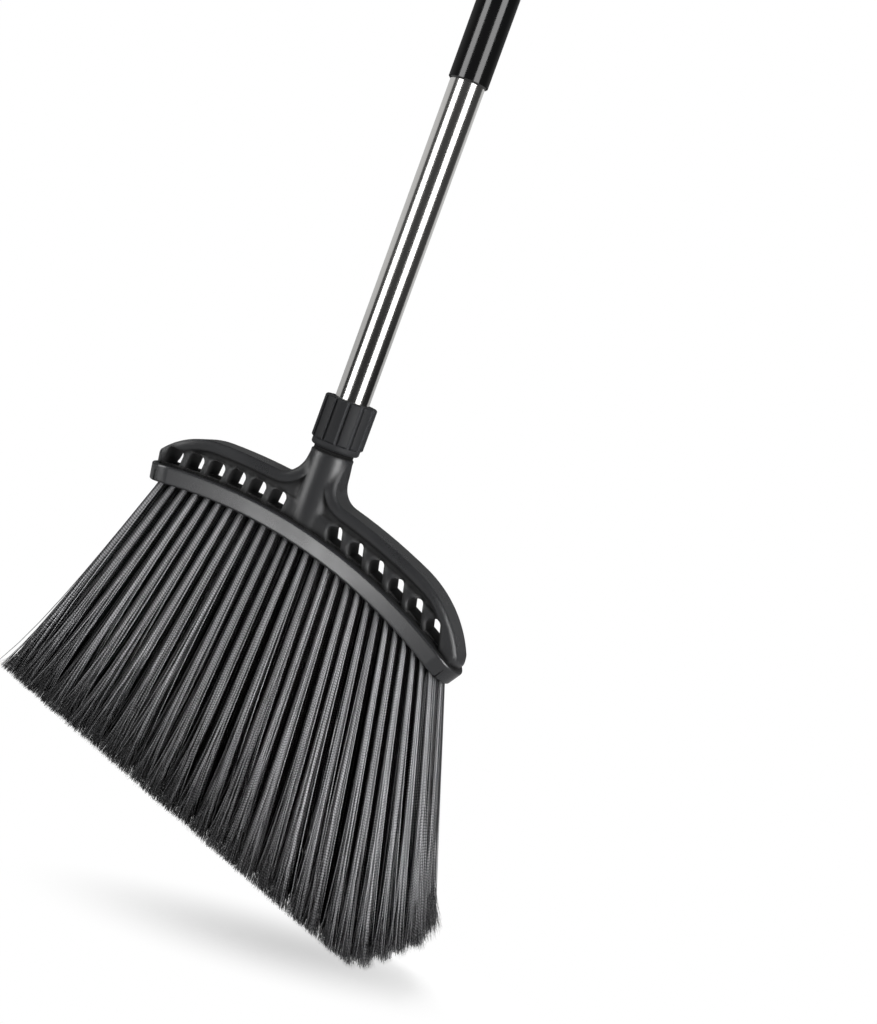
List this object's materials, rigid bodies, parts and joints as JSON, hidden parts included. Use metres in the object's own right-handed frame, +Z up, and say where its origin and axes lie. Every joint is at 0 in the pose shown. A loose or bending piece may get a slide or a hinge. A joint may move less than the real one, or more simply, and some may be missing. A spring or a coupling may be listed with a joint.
{
  "type": "street broom",
  "caption": "Angle broom: fanned black bristles cut on a slant under a slotted moulded head, on a screw-together steel tube handle with a ribbed grip.",
  "frame": {"origin": "middle of the hang hole through the grip's dome, on the handle's axis", "axes": "+Z up the handle towards the grip's dome, +X along the head towards its long wing, -Y out of the head's front face"},
  "size_m": [0.3176, 0.0542, 1.3765],
  "materials": {
    "grip": "satin",
    "tube": "polished",
    "plug": "satin",
    "washer": "matte",
    "coupler": "gloss",
    "collar": "satin",
    "head_shell": "satin",
    "rim": "satin",
    "bristle": "matte"
  },
  "bodies": {
    "grip_section": {"grip": "grip", "tube_1": "tube", "plug_1": "plug"},
    "washer_1": {"washer_1": "washer"},
    "washer_2": {"washer_2": "washer"},
    "washer_3": {"washer_3": "washer"},
    "washer_4": {"washer_4": "washer"},
    "section_2": {"coupler_1": "coupler", "tube_2": "tube", "plug_2": "plug"},
    "section_3": {"coupler_2": "coupler", "tube_3": "tube", "plug_3": "plug"},
    "section_4": {"coupler_3": "coupler", "tube_4": "tube", "plug_4": "plug", "collar": "collar"},
    "head": {"head_shell": "head_shell", "rim": "rim", "bristle_row_1": "bristle", "bristle_row_2": "bristle", "bristle_row_3": "bristle", "bristle_row_4": "bristle"}
  },
  "joints": [
    {"name": "coupler_1_turn", "type": "hinge", "parent": "grip_section", "child": "washer_1", "pos_m": [0, 0, -0.266], "axis": [0, 0, -1], "range_deg": [0, 1710]},
    {"name": "coupler_1_travel", "type": "slide", "parent": "washer_1", "child": "section_2", "axis": [0, 0, -1], "range_m": [0, 0.02413]},
    {"name": "coupler_2_turn", "type": "hinge", "parent": "section_2", "child": "washer_2", "pos_m": [0, 0, -0.523], "axis": [0, 0, -1], "range_deg": [0, 1710]},
    {"name": "coupler_2_travel", "type": "slide", "parent": "washer_2", "child": "section_3", "axis": [0, 0, -1], "range_m": [0, 0.02413]},
    {"name": "coupler_3_turn", "type": "hinge", "parent": "section_3", "child": "washer_3", "pos_m": [0, 0, -0.78], "axis": [0, 0, -1], "range_deg": [0, 1710]},
    {"name": "coupler_3_travel", "type": "slide", "parent": "washer_3", "child": "section_4", "axis": [0, 0, -1], "range_m": [0, 0.02413]},
    {"name": "head_turn", "type": "hinge", "parent": "section_4", "child": "washer_4", "pos_m": [0, 0, -1.0772], "axis": [0, 0, -1], "range_deg": [0, 1710]},
    {"name": "head_travel", "type": "slide", "parent": "washer_4", "child": "head", "axis": [0, 0, -1], "range_m": [0, 0.02413]}
  ],
  "couplings": [
    {"joint": "coupler_1_travel", "follows": "coupler_1_turn", "m_per_rad": 0.00080851},
    {"joint": "coupler_2_travel", "follows": "coupler_2_turn", "m_per_rad": 0.00080851},
    {"joint": "coupler_3_travel", "follows": "coupler_3_turn", "m_per_rad": 0.00080851},
    {"joint": "head_travel", "follows": "head_turn", "m_per_rad": 0.00080851}
  ]
}
